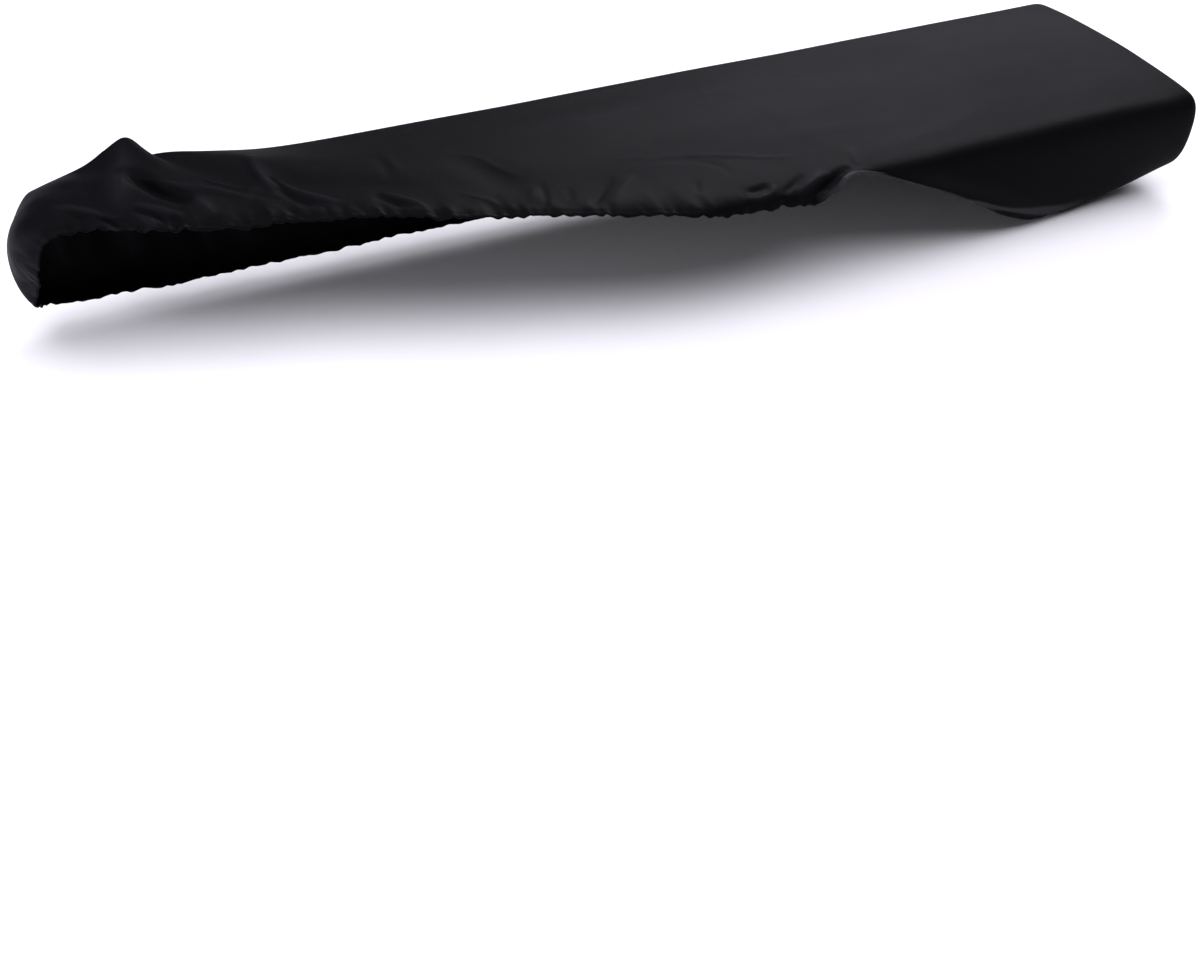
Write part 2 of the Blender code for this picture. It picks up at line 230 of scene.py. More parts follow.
# The flat grid is the top, and its border is drawn down line by line to make the drops. Each point
# also keeps its place on the cloth laid flat, the nearest place on the hem, and its way to there.
sheet = bmesh.new()
bmesh.ops.create_grid(sheet, x_segments=LAST_COLUMN, y_segments=ROWS, size=1.0)
for depth in range(1, len(LINES)):
    border = [edge for edge in sheet.edges if edge.is_boundary]
    drawn = bmesh.ops.extrude_edge_only(sheet, edges=border)
    for vert in drawn["geom"]:
        if isinstance(vert, bmesh.types.BMVert):
            vert.co.z = -depth
to_hem_layer = sheet.verts.layers.float.new("to_hem")
hem_place_layer = sheet.verts.layers.float_vector.new("hem_place")
knit_layer = sheet.loops.layers.uv.new("knit")
flat_places = {}
for vert in sheet.verts:
    column = round((vert.co.x + 1) / 2 * LAST_COLUMN)
    row = round((vert.co.y + 1) / 2 * ROWS)
    depth = round(-vert.co.z)
    vert.co = cloth_point(column, row, LINES[depth])
    if 0 < column < LAST_COLUMN and 0 < row < ROWS:
        border_row = ROWS if row > ROWS / 2 else 0
    else:
        border_row = row
    drop = [cloth_point(column, border_row, line) for line in LINES]
    steps = [(b - a).length for a, b in zip(drop, drop[1:])]
    inward = (vert.co - drop[0]).length if depth == 0 else 0.0
    vert[to_hem_layer] = sum(steps[depth:]) + inward
    vert[hem_place_layer] = drop[-1]
    out = sum(steps[:depth])
    top_place = cloth_point(column, row, "edge")
    flat_places[vert] = (
        top_place.x + out * ((column == LAST_COLUMN) - (column == 0)),
        top_place.y + out * ((row == ROWS) - (row == 0)),
    )
for face in sheet.faces:
    for loop in face.loops:
        loop[knit_layer].uv = flat_places[loop.vert]
bmesh.ops.recalc_face_normals(sheet, faces=sheet.faces)
mesh = bpy.data.meshes.new("cover_cloth")
sheet.to_mesh(mesh)
sheet.free()
cover = bpy.data.objects.new("cover_cloth", mesh)
bpy.context.scene.collection.objects.link(cover)
rounding = cover.modifiers.new("soft edges", "SUBSURF")
rounding.levels = SMOOTHING_LEVELS
rounding.render_levels = SMOOTHING_LEVELS
graph = bpy.context.evaluated_depsgraph_get()
cover.data = bpy.data.meshes.new_from_object(cover.evaluated_get(graph))
cover.modifiers.remove(rounding)

# Folds: ridges above zero height, hollows below. Each runs through the places of its path, which
# are seen square on to its side: along the cover, or on an end across it, and then up the side, or
# on the top to the back. A fold that leans is steeper on one flank.
Side = namedtuple("Side", "normal u_axis v_axis")
SIDES = {
    "top": Side((0, 0, 1), (1, 0, 0), (0, 1, 0)),
    "brow": Side((0, -0.707, 0.707), (1, 0, 0), (0, 0.707, 0.707)),
    "front": Side((0, -1, 0), (1, 0, 0), (0, 0, 1)),
    "back": Side((0, 1, 0), (1, 0, 0), (0, 0, 1)),
    "left": Side((-1, 0, 0), (0, 1, 0), (0, 0, 1)),
    "right": Side((1, 0, 0), (0, 1, 0), (0, 0, 1)),
}
# A fold shows on cloth that faces its side, from FACING_NONE on and in full from FACING_FULL on.
FACING_NONE = 0.15
FACING_FULL = 0.65
PATH_STEPS = 5
CREST_SHARPNESS = 1.6
CREST_ROUNDING = 0.15
FADING_POWER = 0.8
Fold = namedtuple("Fold", "side height half_width lean path")
FOLDS = tuple(
    Fold(*row)
    for row in (
        # side, height, half width, lean, path of places
        # the standing corner's ridge, and the bright crease that runs from its foot with the
        # hollow under it
        ("top", 0.0040, 0.0100, 0.0, ((-0.543, 0.150), (-0.562, 0.096), (-0.580, 0.050))),
        ("top", -0.0022, 0.0140, 0.0, ((-0.592, 0.140), (-0.606, 0.070))),
        (
            "top", 0.0045, 0.0040, 0.2,
            (
                (-0.556, 0.112), (-0.540, 0.092), (-0.524, 0.077),
                (-0.508, 0.066), (-0.484, 0.057), (-0.452, 0.034),
            ),
        ),
        (
            "top", -0.0110, 0.0085, 0.0,
            ((-0.560, 0.118), (-0.546, 0.091), (-0.534, 0.070), (-0.522, 0.056), (-0.512, 0.040)),
        ),
        ("top", 0.0026, 0.0075, 0.0, ((-0.512, 0.056), (-0.503, 0.038), (-0.496, 0.014))),
        ("top", 0.0042, 0.0032, 0.0, ((-0.566, 0.056), (-0.545, 0.040), (-0.524, 0.022))),
        ("top", -0.0034, 0.0028, 0.0, ((-0.566, 0.050), (-0.552, 0.034), (-0.544, 0.018))),
        ("top", 0.0028, 0.0026, 0.0, ((-0.570, 0.044), (-0.560, 0.030), (-0.554, 0.014))),
        ("top", -0.0024, 0.0030, 0.0, ((-0.536, 0.028), (-0.528, 0.012))),
        # creases that run in from the left end
        (
            "top", 0.0038, 0.0040, 0.3,
            ((-0.638, 0.078), (-0.618, 0.066), (-0.597, 0.051), (-0.572, 0.036)),
        ),
        (
            "top", -0.0036, 0.0040, 0.0,
            ((-0.628, 0.066), (-0.612, 0.056), (-0.590, 0.043), (-0.568, 0.030)),
        ),
        ("top", 0.0032, 0.0028, 0.0, ((-0.606, 0.052), (-0.592, 0.039), (-0.582, 0.026))),
        ("top", -0.0016, 0.0026, 0.0, ((-0.596, 0.048), (-0.584, 0.034), (-0.576, 0.022))),
        ("top", 0.0014, 0.0090, 0.0, ((-0.655, 0.104), (-0.600, 0.082))),
        # the broad dull hollow right of the corner, and thin creases across its lower end
        ("top", -0.0030, 0.0200, 0.0, ((-0.512, 0.118), (-0.478, 0.086), (-0.448, 0.050))),
        ("top", 0.0010, 0.0030, 0.0, ((-0.500, 0.092), (-0.470, 0.062), (-0.440, 0.044))),
        ("top", -0.0010, 0.0030, 0.0, ((-0.452, 0.040), (-0.436, 0.028), (-0.414, 0.014))),
        # second crease
        ("top", 0.0026, 0.0070, -0.5, ((-0.428, 0.112), (-0.434, 0.072), (-0.430, 0.036))),
        (
            "top", 0.0030, 0.0032, 0.2,
            ((-0.424, 0.056), (-0.407, 0.030), (-0.384, 0.004), (-0.372, -0.008)),
        ),
        ("top", -0.0030, 0.0062, 0.0, ((-0.426, 0.044), (-0.410, 0.016), (-0.396, -0.006))),
        ("top", -0.0012, 0.0028, 0.0, ((-0.428, 0.062), (-0.414, 0.034))),
        ("top", 0.0010, 0.0030, 0.0, ((-0.446, 0.020), (-0.424, 0.002))),
        ("top", -0.0014, 0.0030, 0.0, ((-0.436, 0.012), (-0.418, -0.006))),
        # third crease
        (
            "top", 0.0024, 0.0030, 0.2,
            ((-0.334, -0.002), (-0.318, -0.020), (-0.307, -0.036), (-0.304, -0.052)),
        ),
        ("top", -0.0026, 0.0050, 0.0, ((-0.344, -0.004), (-0.328, -0.024), (-0.316, -0.042))),
        ("top", -0.0008, 0.0060, 0.0, ((-0.307, 0.066), (-0.315, 0.012))),
        ("top", 0.0007, 0.0040, 0.0, ((-0.300, 0.064), (-0.300, 0.026))),
        # a broad faint hollow with a soft rim
        (
            "top", -0.0022, 0.0190, 0.0,
            ((-0.246, 0.040), (-0.223, 0.004), (-0.208, -0.030), (-0.208, -0.062)),
        ),
        (
            "top", 0.0008, 0.0050, 0.0,
            ((-0.246, 0.048), (-0.214, 0.022), (-0.200, -0.008), (-0.184, -0.030)),
        ),
        ("top", 0.0012, 0.0034, 0.0, ((-0.262, -0.030), (-0.240, -0.052), (-0.230, -0.070))),
        # puckers behind the lifted hem
        ("top", -0.0016, 0.0032, 0.0, ((-0.176, -0.042), (-0.186, -0.076), (-0.200, -0.092))),
        ("top", 0.0012, 0.0040, 0.0, ((-0.186, -0.050), (-0.200, -0.076))),
        ("top", -0.0009, 0.0036, 0.0, ((-0.153, -0.060), (-0.162, -0.088))),
        ("top", -0.0024, 0.0040, -0.3, ((-0.100, -0.060), (-0.124, -0.080), (-0.150, -0.102))),
        ("top", 0.0015, 0.0060, 0.0, ((-0.078, -0.066), (-0.104, -0.086), (-0.126, -0.106))),
        ("top", -0.0005, 0.0040, 0.0, ((-0.014, -0.059), (0.016, -0.082), (0.022, -0.112))),
        ("top", -0.0012, 0.0030, 0.0, ((-0.020, -0.098), (-0.032, -0.122))),
        # the thin crease on the taut part, and slow pull lines
        (
            "top", 0.0013, 0.0027, 0.0,
            ((-0.080, -0.034), (-0.050, -0.041), (0.008, -0.058), (0.069, -0.081), (0.110, -0.094)),
        ),
        ("top", 0.0004, 0.0026, 0.0, ((-0.054, -0.057), (-0.010, -0.070))),
        ("top", 0.0008, 0.0160, 0.0, ((0.020, -0.040), (0.300, -0.070))),
        ("top", 0.0009, 0.0140, 0.0, ((0.160, -0.116), (0.300, -0.098), (0.420, -0.060))),
        ("top", -0.0007, 0.0200, 0.0, ((0.100, 0.000), (0.560, 0.030))),
        ("top", 0.0008, 0.0180, 0.0, ((-0.200, 0.060), (0.200, 0.080))),
        ("top", -0.0007, 0.0160, 0.0, ((-0.300, 0.090), (0.100, 0.116))),
        ("top", 0.0010, 0.0040, 0.0, ((0.174, -0.100), (0.160, -0.130))),
        # the roll of spare cloth where the lifted hem comes back to the front edge
        (
            "brow", -0.0066, 0.0046, 0.0,
            ((0.086, -0.133), (0.110, -0.120), (0.134, -0.109), (0.150, -0.103)),
        ),
        (
            "front", 0.0044, 0.0036, 0.0,
            ((0.094, -0.035), (0.110, -0.031), (0.126, -0.024), (0.144, -0.016), (0.170, -0.017)),
        ),
        ("brow", 0.0030, 0.0048, 0.0, ((0.122, -0.102), (0.096, -0.112), (0.070, -0.122))),
        ("brow", -0.0022, 0.0040, 0.0, ((0.094, -0.100), (0.078, -0.108), (0.056, -0.118))),
        (
            "brow", 0.0026, 0.0030, 0.0,
            ((0.054, -0.104), (0.044, -0.115), (0.026, -0.118), (0.012, -0.112)),
        ),
        ("brow", -0.0030, 0.0034, 0.0, ((0.048, -0.102), (0.034, -0.106), (0.018, -0.106))),
        # pull lines on the front drop, from the top of the lift down to the low corner
        ("front", 0.0010, 0.0100, 0.0, ((0.190, -0.020), (0.310, -0.062), (0.440, -0.120))),
        ("front", -0.0010, 0.0140, 0.0, ((0.260, -0.026), (0.400, -0.060), (0.520, -0.100))),
        (
            "front", 0.0022, 0.0060, 0.0,
            ((0.340, -0.093), (0.412, -0.113), (0.461, -0.126), (0.520, -0.128)),
        ),
        # left end
        ("left", -0.0013, 0.0021, 0.0, ((0.090, -0.030), (0.062, -0.022), (0.044, -0.018))),
        ("left", 0.0013, 0.0020, 0.0, ((0.090, -0.036), (0.064, -0.028), (0.048, -0.022))),
        ("left", 0.0012, 0.0022, 0.0, ((0.094, -0.046), (0.067, -0.037), (0.052, -0.032))),
        ("left", -0.0032, 0.0045, 0.0, ((0.100, -0.074), (0.082, -0.065), (0.062, -0.056))),
        ("left", 0.0012, 0.0090, 0.0, ((0.104, -0.092), (0.114, -0.015))),
        ("left", -0.0018, 0.0080, 0.0, ((0.122, -0.095), (0.126, -0.010))),
        ("left", 0.0014, 0.0080, 0.0, ((0.138, -0.095), (0.136, -0.020))),
        # back drop
        ("back", 0.0030, 0.0100, 0.0, ((-0.628, -0.010), (-0.616, -0.105))),
        ("back", -0.0070, 0.0130, 0.0, ((-0.606, 0.005), (-0.594, -0.050), (-0.590, -0.105))),
        ("back", 0.0062, 0.0120, 0.0, ((-0.560, 0.030), (-0.556, -0.040), (-0.545, -0.105))),
        ("back", -0.0070, 0.0130, 0.0, ((-0.524, 0.008), (-0.505, -0.050), (-0.494, -0.110))),
        ("back", 0.0030, 0.0090, 0.0, ((-0.486, -0.005), (-0.466, -0.110))),
        ("back", 0.0045, 0.0130, 0.0, ((-0.455, -0.005), (-0.425, -0.110))),
        ("back", -0.0030, 0.0090, 0.0, ((-0.428, -0.020), (-0.404, -0.112))),
        ("back", -0.0042, 0.0150, 0.0, ((-0.380, -0.015), (-0.340, -0.110))),
        ("back", 0.0024, 0.0100, 0.0, ((-0.318, -0.030), (-0.296, -0.112))),
        ("back", 0.0026, 0.0160, 0.0, ((-0.250, -0.025), (-0.215, -0.110))),
        ("back", -0.0018, 0.0160, 0.0, ((-0.160, -0.030), (-0.120, -0.112))),
        ("back", 0.0014, 0.0160, 0.0, ((-0.020, -0.030), (0.020, -0.112))),
        ("back", -0.0012, 0.0180, 0.0, ((0.180, -0.030), (0.230, -0.112))),
        ("back", 0.0012, 0.0180, 0.0, ((0.400, -0.030), (0.440, -0.112))),
        ("right", 0.0012, 0.0120, 0.0, ((-0.100, -0.030), (-0.080, -0.100))),
        ("right", -0.0012, 0.0140, 0.0, ((0.060, -0.030), (0.080, -0.100))),
    )
)


def read(collection, name, width):
    values = np.empty(len(collection) * width)
    collection.foreach_get(name, values)
    return values.reshape(-1, width)


def curve_at(before, start, end, after, share):
    """A coordinate on the smooth curve from start to end, bent by the points beside them."""
    slope = (end - before) * share
    bend = (2 * before - 5 * start + 4 * end - after) * share**2
    turn = (3 * start - before - 3 * end + after) * share**3
    return 0.5 * (2 * start + slope + bend + turn)


def smooth_path(path):
    """More places along a smooth curve through the path's own places."""
    padded = [path[0], *path, path[-1]]
    places = [path[0]]
    for four_places in zip(padded, padded[1:], padded[2:], padded[3:]):
        for step in range(1, PATH_STEPS + 1):
            places.append([curve_at(*values, step / PATH_STEPS) for values in zip(*four_places)])
    return np.array(places)


def way_to_path(side, path, places):
    """How far every point is from the path, on which side of it, how far along it, and its length."""
    points = np.stack([places @ np.array(side.u_axis), places @ np.array(side.v_axis)], axis=1)
    path = smooth_path(path)
    runs = np.diff(path, axis=0)
    lengths = np.hypot(*runs.T)
    starts = np.concatenate([[0.0], np.cumsum(lengths)])
    nearest = np.full(len(points), np.inf)
    along = np.zeros(len(points))
    turned = np.zeros(len(points))
    for corner, run, length, start in zip(path, runs, lengths, starts):
        offset = points - corner
        share = np.clip(offset @ run / length**2, 0.0, 1.0)
        rest = offset - share[:, None] * run
        distance = np.hypot(*rest.T)
        nearer = distance < nearest
        nearest = np.where(nearer, distance, nearest)
        along = np.where(nearer, start + share * length, along)
        turned = np.where(nearer, rest[:, 0] * run[1] - rest[:, 1] * run[0], turned)
    return nearest, np.sign(turned), along, starts[-1]


def fold_lift(fold, places, normals):
    """How far the fold lifts every point: most on its path and none past its ends. A ridge has a
    sharp crest and hollow flanks, and a hollow is round."""
    side = SIDES[fold.side]
    strength = eased((normals @ np.array(side.normal) - FACING_NONE) / (FACING_FULL - FACING_NONE))
    nearest, hand, along, length = way_to_path(side, fold.path, places)
    away = nearest / (fold.half_width * (1 + fold.lean * hand))
    if fold.height > 0:
        rounded = np.sqrt(away**2 + CREST_ROUNDING) - CREST_ROUNDING**0.5
        profile = np.exp(-CREST_SHARPNESS * rounded)
    else:
        profile = np.exp(-(away**2))
    fading = np.clip(np.sin(pi * along / length), 0.0, 1.0) ** FADING_POWER
    return fold.height * strength * fading * profile


def uneven(places, pitch, seed):
    """Smooth noise from -1 to 1 with the given pitch in metres."""
    shift = Vector((seed * 7.3, seed * 3.1, seed * 5.7))
    return np.array([noise.noise(Vector(place) / pitch + shift) for place in places])


# Nothing in slack cloth runs dead straight, so the folds' paths wander a little. The fold crests get
# a painted highlight, in full where the folds lift the cloth this far.
WANDER_PITCH = 0.045
WANDER = 0.0022
WANDER_SEEDS = (1, 2, 3)
CREST_HIGHLIGHT_LIFT = 0.003
places = read(cover.data.vertices, "co", 3)
normals = read(cover.data.vertex_normals, "vector", 3)
wander = np.stack([uneven(places, WANDER_PITCH, seed) for seed in WANDER_SEEDS], axis=1) * WANDER
lift = sum(fold_lift(fold, places + wander, normals) for fold in FOLDS)
crest = np.clip(lift / CREST_HIGHLIGHT_LIFT, 0.0, 1.0)

# A painted highlight runs as a bright line along the stretched hem, and past the middle of the drop
# it leaves the edge and follows the casing's upper seam to the low corner. It fades and spreads
# towards its ends, and is painted only on cloth that faces the front.
SEAM = (
    (0.274, -0.064), (0.325, -0.086), (0.360, -0.100),
    (0.412, -0.115), (0.461, -0.126), (0.500, -0.128),
)
SEAM_FROM_X = 0.300
SEAM_OVER = 0.035
HEM_HIGHLIGHT_X = (0.095, 0.125, 0.465, 0.510)
HEM_HIGHLIGHT_SHARES = (0.0, 1.0, 1.0, 0.0)
RIM_X = (0.150, 0.185, 0.380, 0.440)
RIM_SPREADS = (2.5, 1.0, 1.0, 2.4)
FRONT_HEM_Y = 0.05
FACING_FRONT = -0.1
to_hem = read(cover.data.attributes["to_hem"].data, "value", 1)[:, 0]
hem_places = read(cover.data.attributes["hem_place"].data, "vector", 3)
on_front = hem_places[:, 1] < FRONT_HEM_Y
to_seam, hand = way_to_path(SIDES["front"], SEAM, places)[:2]
rim_way = mixed(to_hem, -to_seam * hand, eased((places[:, 0] - SEAM_FROM_X) / SEAM_OVER))
rim_way /= np.interp(places[:, 0], RIM_X, RIM_SPREADS)
hem_highlight = np.interp(places[:, 0], HEM_HIGHLIGHT_X, HEM_HIGHLIGHT_SHARES) * on_front * (normals[:, 1] < FACING_FRONT)

# The hem is a narrow casing turned to the inside, with an elastic in it. Where it is slack it
# gathers the cloth into uneven puckers that die out up the cloth, and its edge is scalloped. At the
# front right it is stretched flat, and a painted highlight makes it a thin bright line.
HEM_WIDTH = 0.0050
HEM_HEIGHT = 0.0014
SLACK_HEM_SHARE = 0.3
HEM_STITCH_DEPTH = 0.0005
HEM_STITCH_WIDTH = 0.0012
PUCKER_STRETCH = 0.35
PUCKER_FADING_POWER = 1.5
Pucker = namedtuple("Pucker", "pitch depth reach")
PUCKERS = (
    Pucker(0.0230, 0.0036, 0.026),
    Pucker(0.0120, 0.0030, 0.017),
    Pucker(0.0065, 0.0020, 0.011),
)
SCALLOP = Pucker(0.0085, 0.0040, 0.009)
PUCKER_SEED = 5
SCALLOP_SEED = 9
SWELL_SEED = 11
TAUT_FROM_X = 0.07
TAUT_OVER = 0.10
TAUT_PUCKER_SHARE = 0.06
BACK_PUCKER_SHARE = 0.6
BACK_HEM_Y = 0.11
SWELL_PITCH = 0.070
SWELL = 0.0007
SWELL_SCALE = (0.5, 1.0, 1.0)
taut = eased((places[:, 0] - TAUT_FROM_X) / TAUT_OVER) * on_front
slack = 1 - taut * (1 - TAUT_PUCKER_SHARE)
slack *= np.where(hem_places[:, 1] > BACK_HEM_Y, BACK_PUCKER_SHARE, 1.0)
for seed, pucker in enumerate(PUCKERS, PUCKER_SEED):
    along_hem = hem_places.copy()
    along_hem[:, 2] += to_hem * PUCKER_STRETCH
    fading = np.exp(-((to_hem / pucker.reach) ** PUCKER_FADING_POWER))
    lift += pucker.depth * slack * fading * uneven(along_hem, pucker.pitch, seed)
lift += SWELL * uneven(places * np.array(SWELL_SCALE), SWELL_PITCH, SWELL_SEED)
bead = np.sin(pi * np.clip(to_hem / HEM_WIDTH, 0.0, 1.0))
stitched = np.exp(-(((to_hem - HEM_WIDTH) / HEM_STITCH_WIDTH) ** 2))
lift += (HEM_HEIGHT * bead - HEM_STITCH_DEPTH * stitched) * mixed(SLACK_HEM_SHARE, 1.0, taut)
scallops = SCALLOP.depth * slack * np.exp(-to_hem / SCALLOP.reach)
places[:, 2] += scallops * uneven(hem_places, SCALLOP.pitch, SCALLOP_SEED)
cover.data.vertices.foreach_set("co", (places + normals * lift[:, None]).ravel())
cover.data.shade_smooth()
# The masks of the painted highlights, on the fold crests and along the hem line, are kept on the
# mesh.
for name, values in (("crest", crest), ("hem_highlight", hem_highlight), ("rim_way", rim_way)):
    cover.data.attributes.new(name, "FLOAT", "POINT").data.foreach_set("value", values)
wall = cover.modifiers.new("cloth thickness", "SOLIDIFY")
wall.thickness = CLOTH_THICKNESS
wall.offset = -1.0


class Wire:
    """A socket in a tree of shader nodes. Sums and products of wires add the Math nodes."""

    def __init__(self, tree, socket=None):
        self.tree = tree
        self.socket = socket

    def node(self, kind, settings, sockets, output=0):
        """Adds a node with its settings and with its sockets' values or wires."""
        node = self.tree.nodes.new(kind)
        for name, value in settings.items():
            setattr(node, name, value)
        for name, value in sockets.items():
            if isinstance(value, Wire):
                self.tree.links.new(value.socket, node.inputs[name])
            else:
                node.inputs[name].default_value = value
        return Wire(self.tree, node.outputs[output])

    def calculated(self, operation, first, second=0.0):
        return self.node("ShaderNodeMath", {"operation": operation}, {0: first, 1: second})

    def __add__(self, other):
        return self.calculated("ADD", self, other)

    __radd__ = __add__

    def __mul__(self, other):
        return self.calculated("MULTIPLY", self, other)

    __rmul__ = __mul__

    def __sub__(self, other):
        return self.calculated("SUBTRACT", self, other)

    def __rsub__(self, other):
        return self.calculated("SUBTRACT", other, self)

    def __abs__(self):
        return self.calculated("ABSOLUTE", self)

    def sine(self):
        return self.calculated("SINE", self)

    def mixed(self, low_colour, high_colour):
        """The colour from the low one, where this wire is 0, to the high one, where it is 1."""
        sockets = {0: self, 6: low_colour, 7: high_colour}
        return self.node("ShaderNodeMix", {"data_type": "RGBA"}, sockets, 2)


# The knit has fine upright wales and shorter courses, seen only from near, and painted shade darkens
# the hollows between its loops. From further off the cloth is near black with a cool dull gloss, with
# random patches of wear, a painted highlight on the fold crests and a painted highlight line along
# the stretched hem.
WALE_PITCH = 0.0013
COURSE_PITCH = 0.0011
KNIT_DEPTH = 0.00012
RIPPLE_DEPTH = 0.0005
# DEEP to WORN: random wear, and painted shade that darkens the knit's hollows between its loops
DEEP_COLOUR = (0.0013, 0.0013, 0.0016, 1.0)
WORN_AND_LOOP_TOP_COLOUR = (0.0044, 0.0043, 0.0053, 1.0)
# the painted highlight on the fold crests
CREST_HIGHLIGHT_COLOUR = (0.0085, 0.0083, 0.0098, 1.0)
SHEEN_TINT = (0.80, 0.80, 0.92, 1.0)
# the painted highlight line along the stretched hem and seam
HEM_HIGHLIGHT_COLOUR = (0.0304, 0.0297, 0.0322, 1.0)
RIM_WIDTH = 0.0034
DRAWN_OUT_SCALE = (0.35, 1.0, 1.0)
PATCH_SCALE = 9.0
RIPPLE_SCALE = 30.0
FUZZ_SCALE = 700.0
COURSE_BOW = 2.2
WALE_SHARE = 0.6
COURSE_SHARE = 0.2
FUZZ_SHARE = 0.3
PATCH_WEAR = 0.7
LOOP_SHADE = 0.35
WEAR_AND_SHADE_START = 0.1
CREST_HIGHLIGHT_SHARE = 0.8
LEAST_ROUGHNESS = 0.42
ROUGHNESS_SPREAD = 0.16
knit = bpy.data.materials.new("black stretch knit")
knit.use_nodes = True
wires = Wire(knit.node_tree)
spots = wires.node("ShaderNodeTexCoord", {}, {}, "Object")
drawn_out = wires.node("ShaderNodeMapping", {}, {"Vector": spots, "Scale": DRAWN_OUT_SCALE})
flat = wires.node("ShaderNodeUVMap", {"uv_map": "knit"}, {})
across = wires.node("ShaderNodeSeparateXYZ", {}, {"Vector": flat}, "X")
down = wires.node("ShaderNodeSeparateXYZ", {}, {"Vector": flat}, "Y")
wale = abs((across * (pi / WALE_PITCH)).sine())
stitch = (down * (2 * pi / COURSE_PITCH) + wale * COURSE_BOW).sine()
loops = wale * WALE_SHARE + stitch * COURSE_SHARE + COURSE_SHARE
patches = wires.node(
    "ShaderNodeTexNoise",
    {},
    {"Vector": drawn_out, "Scale": PATCH_SCALE, "Detail": 3.0, "Roughness": 0.55},
)
ripples = wires.node(
    "ShaderNodeTexNoise",
    {},
    {
        "Vector": drawn_out,
        "Scale": RIPPLE_SCALE,
        "Detail": 3.0,
        "Roughness": 0.5,
        "Distortion": 0.5,
    },
)
fuzz = wires.node("ShaderNodeTexNoise", {}, {"Vector": spots, "Scale": FUZZ_SCALE, "Detail": 1.0})
# Where the painted highlight line runs, and the masks of the painted highlights.
rim_way = wires.node("ShaderNodeAttribute", {"attribute_name": "rim_way"}, {}, "Fac")
crest_highlights = wires.node("ShaderNodeAttribute", {"attribute_name": "crest"}, {}, "Fac")
hem_highlight_share = wires.node("ShaderNodeAttribute", {"attribute_name": "hem_highlight"}, {}, "Fac")
on_highlight_line = wires.node(
    "ShaderNodeMapRange",
    {"clamp": True},
    {
        "Value": abs(rim_way),
        "From Min": RIM_WIDTH,
        "From Max": RIM_WIDTH / 2,
        "To Min": 0.0,
        "To Max": 1.0,
    },
)
# Random patches of wear plus painted shade: the knit is painted darker in the hollows between its
# loops.
wear_and_loop_shade = patches * PATCH_WEAR + loops * LOOP_SHADE - WEAR_AND_SHADE_START
worn_and_loop_shaded = wear_and_loop_shade.mixed(DEEP_COLOUR, WORN_AND_LOOP_TOP_COLOUR)
# Painted highlight: the fold crests are painted paler.
with_crest_highlight = (crest_highlights * CREST_HIGHLIGHT_SHARE).mixed(worn_and_loop_shaded, CREST_HIGHLIGHT_COLOUR)
# Painted highlight: the thin bright line along the stretched hem and the seam.
coloured = (on_highlight_line * hem_highlight_share).mixed(with_crest_highlight, HEM_HIGHLIGHT_COLOUR)
rippled = wires.node("ShaderNodeBump", {}, {"Height": ripples, "Distance": RIPPLE_DEPTH})
knitted = wires.node(
    "ShaderNodeBump",
    {},
    {"Height": loops + fuzz * FUZZ_SHARE, "Distance": KNIT_DEPTH, "Normal": rippled},
)
shader = knit.node_tree.nodes["Principled BSDF"]
knit.node_tree.links.new(coloured.socket, shader.inputs["Base Color"])
roughness = patches * ROUGHNESS_SPREAD + LEAST_ROUGHNESS
knit.node_tree.links.new(roughness.socket, shader.inputs["Roughness"])
knit.node_tree.links.new(knitted.socket, shader.inputs["Normal"])
shader.inputs["Specular IOR Level"].default_value = 0.015
shader.inputs["Sheen Weight"].default_value = 0.010
shader.inputs["Sheen Roughness"].default_value = 0.35
shader.inputs["Sheen Tint"].default_value = SHEEN_TINT
cover.data.materials.append(knit)

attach(cover, "root")
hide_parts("cover")

# The stage: a plain pale floor, faintly mottled and wide enough to reach the horizon. The cover's
# lowest hem touches it.
FLOOR_SIZE = 400.0
FLOOR_GAP = 0.0005
FLOOR_SHADE = (0.80, 0.80, 0.80, 1.0)
FLOOR_COLOUR = (0.84, 0.84, 0.84, 1.0)
lowest_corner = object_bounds()[0]
ground = bmesh.new()
bmesh.ops.create_grid(ground, x_segments=1, y_segments=1, size=FLOOR_SIZE / 2)
bmesh.ops.translate(ground, verts=ground.verts, vec=(0.0, 0.0, lowest_corner[2] - FLOOR_GAP))
floor_mesh = bpy.data.meshes.new("floor")
ground.to_mesh(floor_mesh)
ground.free()
floor = bpy.data.objects.new("floor", floor_mesh)
bpy.context.scene.collection.objects.link(floor)
paint = bpy.data.materials.new("pale floor")
paint.use_nodes = True
floor_wires = Wire(paint.node_tree)
floor_spots = floor_wires.node("ShaderNodeTexCoord", {}, {}, "Object")
mottle = floor_wires.node("ShaderNodeTexNoise", {}, {"Vector": floor_spots, "Scale": 3.0})
floor_tone = mottle.mixed(FLOOR_SHADE, FLOOR_COLOUR)
floor_shader = paint.node_tree.nodes["Principled BSDF"]
paint.node_tree.links.new(floor_tone.socket, floor_shader.inputs["Base Color"])
floor_shader.inputs["Roughness"].default_value = 0.9
floor.data.materials.append(paint)

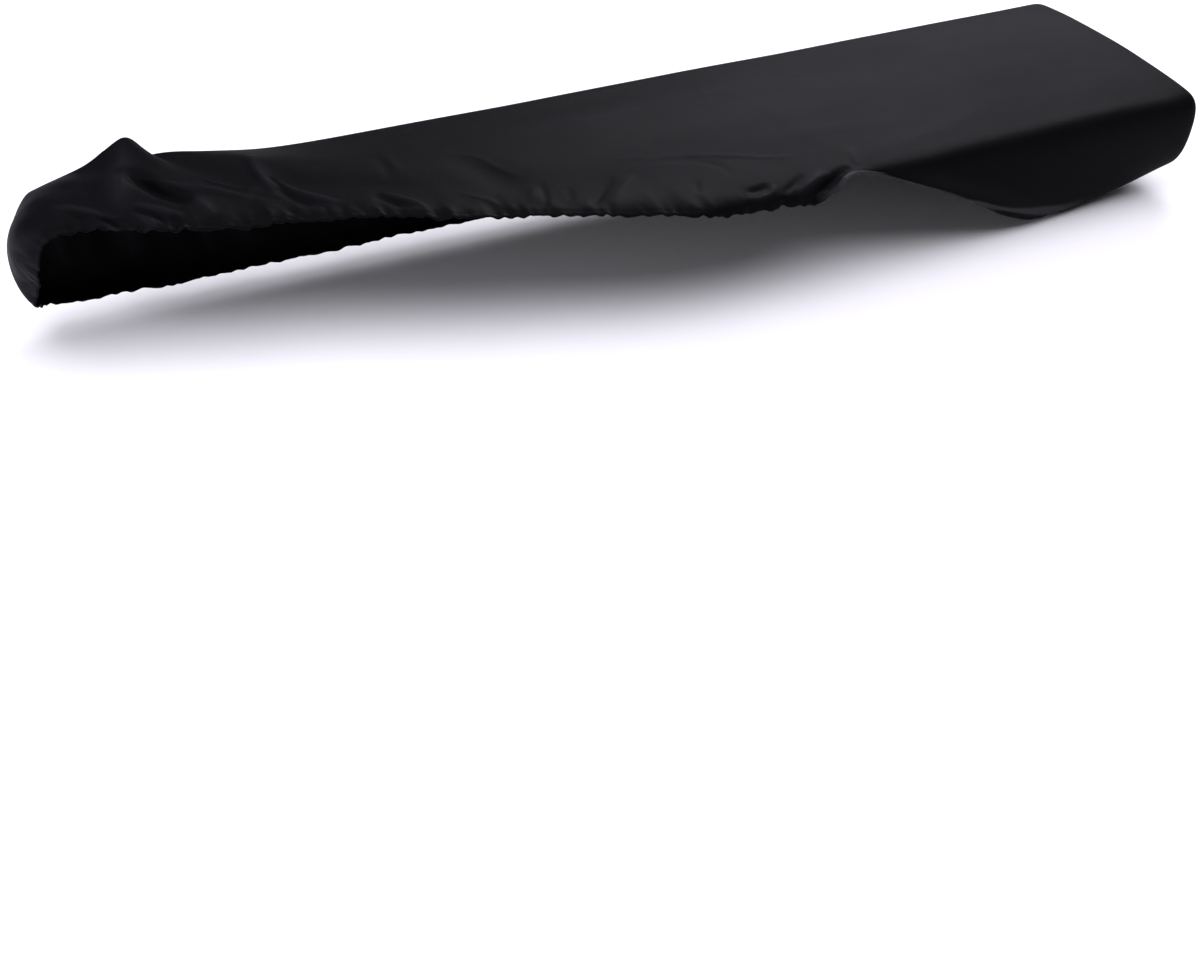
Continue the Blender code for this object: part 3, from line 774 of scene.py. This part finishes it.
# Soft studio light: an even light from overhead, a soft box far behind the right end that gives the
# top its gloss, and a small one close to the left end. The room past the floor looks pale but adds
# little light. The tones are plain, unfiltered.
LIGHT_COLOUR = (0.93, 0.91, 1.0)
overhead = bpy.data.lights.new("overhead light", "SUN")
overhead.energy = 3.7
overhead.angle = radians(75.0)
overhead.color = LIGHT_COLOUR
overhead_holder = bpy.data.objects.new("overhead light", overhead)
overhead_holder.rotation_euler = (radians(6.0), radians(3.0), 0.0)
bpy.context.scene.collection.objects.link(overhead_holder)
Softbox = namedtuple("Softbox", "name place aim size_x size_y power")
SOFTBOXES = (
    Softbox("rear light", (2.4, 2.16, 1.9), (0.4, 0.0, 0.0), 2.2, 1.4, 106.0),
    Softbox("left light", (-1.65, -0.05, 0.10), (-0.66, 0.1, -0.03), 0.7, 0.4, 20.0),
)
for box in SOFTBOXES:
    lamp = bpy.data.lights.new(box.name, "AREA")
    lamp.shape = "RECTANGLE"
    lamp.size = box.size_x
    lamp.size_y = box.size_y
    lamp.energy = box.power
    lamp.color = LIGHT_COLOUR
    holder = bpy.data.objects.new(box.name, lamp)
    holder.location = box.place
    aim = Vector(box.aim) - Vector(box.place)
    holder.rotation_euler = aim.to_track_quat("-Z", "Y").to_euler()
    bpy.context.scene.collection.objects.link(holder)
ROOM_COLOUR = (0.95, 0.96, 1.0, 1.0)
ROOM_LIGHT = 0.10
ROOM_BRIGHTNESS = 0.92
room = bpy.data.worlds.new("pale room")
room.use_nodes = True
room_wires = Wire(room.node_tree)
seen = room_wires.node("ShaderNodeLightPath", {}, {}, "Is Camera Ray")
room_light = room_wires.node(
    "ShaderNodeBackground", {}, {"Color": ROOM_COLOUR, "Strength": ROOM_LIGHT}
)
walls = room_wires.node(
    "ShaderNodeBackground", {}, {"Color": ROOM_COLOUR, "Strength": ROOM_BRIGHTNESS}
)
room_shade = room_wires.node("ShaderNodeMixShader", {}, {0: seen, 1: room_light, 2: walls})
room_output = room.node_tree.nodes["World Output"]
room.node_tree.links.new(room_shade.socket, room_output.inputs["Surface"])
bpy.context.scene.world = room
bpy.context.scene.view_settings.view_transform = "Standard"

# The camera stands in front of the left end, above the top, and looks down along the cover to its
# right end.
lens = bpy.data.cameras.new("camera")
lens.lens = 51.8
lens.sensor_width = 36.0
camera = bpy.data.objects.new("camera", lens)
camera.location = (-0.9366, -1.4771, 0.7345)
camera.rotation_euler = (radians(55.886), radians(-1.535), radians(-29.423))
bpy.context.scene.collection.objects.link(camera)
bpy.context.scene.camera = camera
